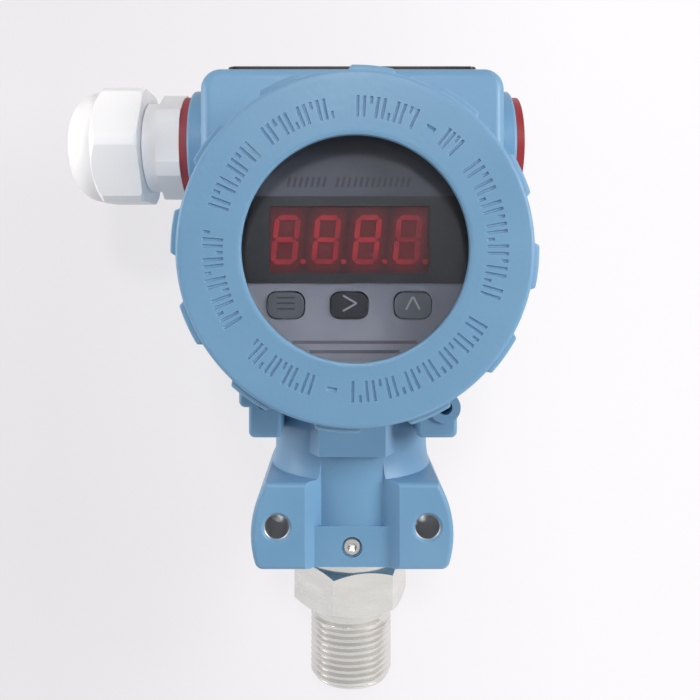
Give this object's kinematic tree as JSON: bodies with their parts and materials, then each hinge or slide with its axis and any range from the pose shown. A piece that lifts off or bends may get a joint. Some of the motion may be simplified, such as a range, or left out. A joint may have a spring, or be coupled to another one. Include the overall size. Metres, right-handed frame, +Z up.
{
  "type": "pressure transmitter",
  "caption": "Field pressure transmitter: round cast head with a lit digital display behind a screwed window cover, side cable gland, bracket ears and threaded steel process connection.",
  "frame": {"origin": "centre of the process thread's lower end", "axes": "+Z up along the process connection, -Y out of the display's face, +X to the right of someone reading the display"},
  "size_m": [0.1096, 0.098, 0.1475],
  "materials": {
    "blue_paint": "satin powder coat",
    "stainless": "turned and milled",
    "brass_pins": "plain",
    "black_rubber": "matt",
    "window_glass": "polished",
    "black_plate": "satin",
    "black_plastic": "fine grain",
    "dark_key": "satin",
    "grey_key": "satin",
    "grey_panel": "satin",
    "led_red_dark": "gloss",
    "led_red": "lit",
    "board_green": "satin",
    "white_nylon": "moulded",
    "red_seal": "matt",
    "red_plastic": "moulded"
  },
  "bodies": {
    "stem": {"process_connection": "stainless", "stem_seal": "black_rubber", "stem_clip": "stainless", "sensor_seal": "black_rubber", "sensor_cell": "stainless", "sensor_header": "black_plastic", "sensor_board": "board_green", "sensor_pins": "brass_pins"},
    "front_seal": {"front_cover_seal": "black_rubber"},
    "front_cover": {"front_cover": "blue_paint", "window_gasket": "black_rubber", "window_glass": "window_glass", "window_ring": "stainless"},
    "rear_seal": {"rear_cover_seal": "black_rubber"},
    "rear_cover": {"rear_cover": "blue_paint"},
    "gland_grip": {"gland_claw": "white_nylon", "gland_seal": "black_rubber"},
    "gland_nut": {"gland_nut": "white_nylon"},
    "left_key": {"left_key": "grey_key"},
    "middle_key": {"middle_key": "dark_key"},
    "right_key": {"right_key": "grey_key"},
    "head": {"blanking_plug": "red_plastic", "board_capacitors": "black_plastic", "board_processor": "black_plastic", "board_screws": "stainless", "cover_lock_screw": "stainless", "display_band": "black_plastic", "display_board": "board_green", "display_cup": "black_plastic", "display_face": "grey_panel", "display_screws": "stainless", "display_standoffs": "brass_pins", "feedthrough_pins": "brass_pins", "gland_body": "white_nylon", "gland_washer": "red_seal", "housing": "blue_paint", "inner_earth_screw": "stainless", "key_switches": "black_plastic", "led_digits": "led_red", "led_module": "led_red_dark", "main_board": "board_green", "nameplate": "black_plate", "nameplate_rivets": "stainless", "neck_set_screw": "stainless", "terminal_block": "black_plastic", "terminal_screws": "stainless"}
  },
  "joints": [
    {"name": "head_swivel", "type": "hinge", "parent": "stem", "child": "head", "pos_m": [0, 0, 0.04], "axis": [0, 0, 1], "range_deg": [-180, 180]},
    {"name": "front_cover_travel", "type": "slide", "parent": "head", "child": "front_seal", "axis": [0, -1, 0], "range_m": [0, 0.012]},
    {"name": "front_cover_turn", "type": "hinge", "parent": "front_seal", "child": "front_cover", "pos_m": [0, -0.04, 0.1055], "axis": [0, -1, 0], "range_deg": [0, 2160]},
    {"name": "rear_cover_travel", "type": "slide", "parent": "head", "child": "rear_seal", "axis": [0, 1, 0], "range_m": [0, 0.01]},
    {"name": "rear_cover_turn", "type": "hinge", "parent": "rear_seal", "child": "rear_cover", "pos_m": [0, 0.035, 0.1055], "axis": [0, 1, 0], "range_deg": [0, 1800]},
    {"name": "gland_nut_travel", "type": "slide", "parent": "head", "child": "gland_grip", "axis": [-1, 0, 0], "range_m": [0, 0.0075]},
    {"name": "gland_nut_turn", "type": "hinge", "parent": "gland_grip", "child": "gland_nut", "pos_m": [-0.06, 0, 0.1313], "axis": [-1, 0, 0], "range_deg": [0, 1800]},
    {"name": "left_key_press", "type": "slide", "parent": "head", "child": "left_key", "axis": [0, 1, 0], "range_m": [0, 0.0004], "stiffness_N_per_m": 1500},
    {"name": "middle_key_press", "type": "slide", "parent": "head", "child": "middle_key", "axis": [0, 1, 0], "range_m": [0, 0.0004], "stiffness_N_per_m": 1500},
    {"name": "right_key_press", "type": "slide", "parent": "head", "child": "right_key", "axis": [0, 1, 0], "range_m": [0, 0.0004], "stiffness_N_per_m": 1500}
  ],
  "couplings": [
    {"joint": "front_cover_travel", "follows": "front_cover_turn", "m_per_rad": 0.00031831},
    {"joint": "rear_cover_travel", "follows": "rear_cover_turn", "m_per_rad": 0.00031831},
    {"joint": "gland_nut_travel", "follows": "gland_nut_turn", "m_per_rad": 0.00023873}
  ]
}
